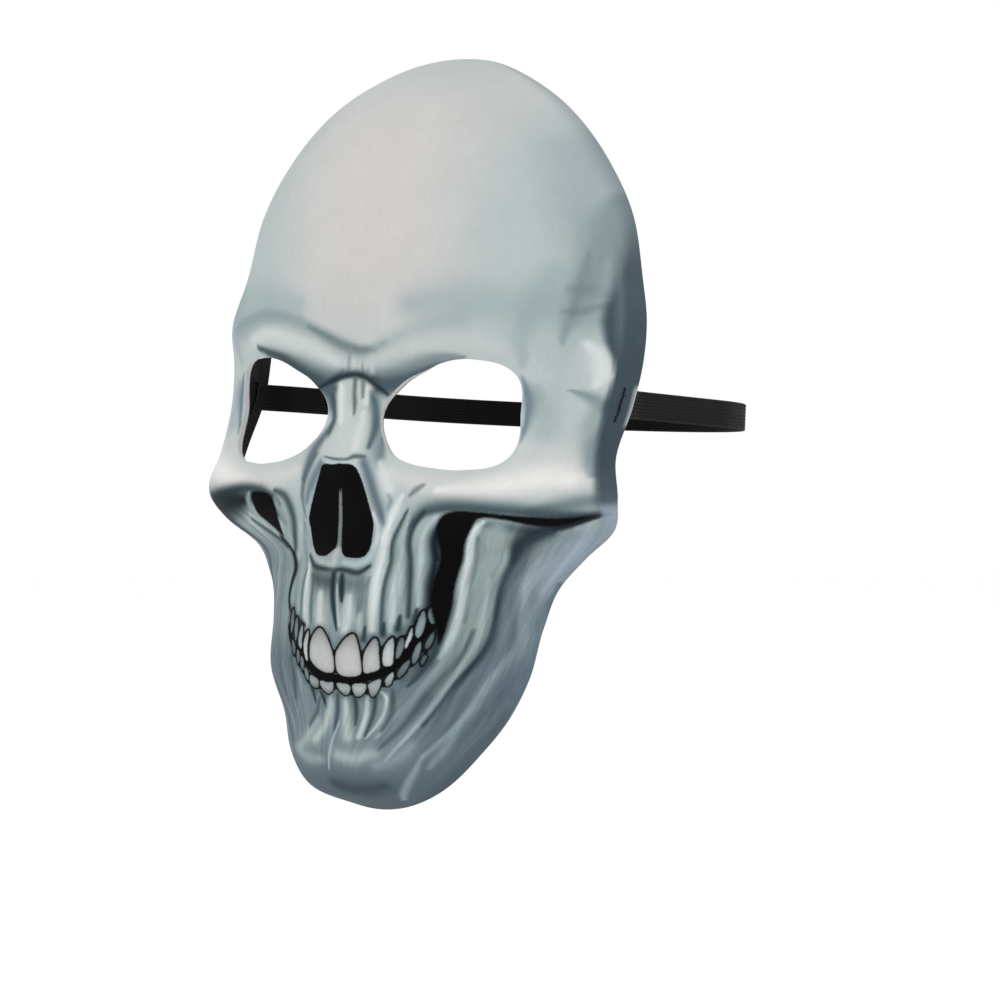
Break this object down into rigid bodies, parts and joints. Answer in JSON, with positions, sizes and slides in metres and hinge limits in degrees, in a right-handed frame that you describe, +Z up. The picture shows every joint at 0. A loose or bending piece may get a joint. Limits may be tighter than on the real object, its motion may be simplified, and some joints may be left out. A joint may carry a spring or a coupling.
{
  "type": "skull face mask",
  "caption": "Full-face skull mask: a moulded foam shell with a printed skull face, open eye holes, a black lining and a flat elastic sewn inside the temples.",
  "frame": {"origin": "on the lining at the middle of the brow, where the shell rests on the wearer", "axes": "+Z up the face, -Y out through the face, +X to the wearer's left"},
  "size_m": [0.1818, 0.2059, 0.273],
  "materials": {
    "printed_cloth": "smooth printed knit cloth with a soft matt sheen",
    "foam": "closed-cell foam sheet, matt, white at the cut edges",
    "lining": "black matt knit lining",
    "elastic": "black ribbed braided elastic",
    "thread": "black spun sewing thread"
  },
  "bodies": {
    "mask_shell": {"printed_face": "printed_cloth", "foam_core": "foam", "inner_lining": "lining", "left_strap_tail": "elastic", "right_strap_tail": "elastic", "left_stitching": "thread", "right_stitching": "thread"},
    "strap_sides": {"left_strap_side": "elastic", "right_strap_side": "elastic"},
    "strap_loop": {"strap_back": "elastic"}
  },
  "joints": [
    {"name": "strap_swing", "type": "hinge", "parent": "mask_shell", "child": "strap_sides", "pos_m": [0, 0.04602, -0.019], "axis": [1, 0, 0], "range_deg": [-75, 60]},
    {"name": "strap_stretch", "type": "slide", "parent": "strap_sides", "child": "strap_loop", "axis": [0, 0.9976, -0.0698], "range_m": [0, 0.06], "stiffness_N_per_m": 80, "deforming": ["left_strap_side", "right_strap_side"]}
  ]
}
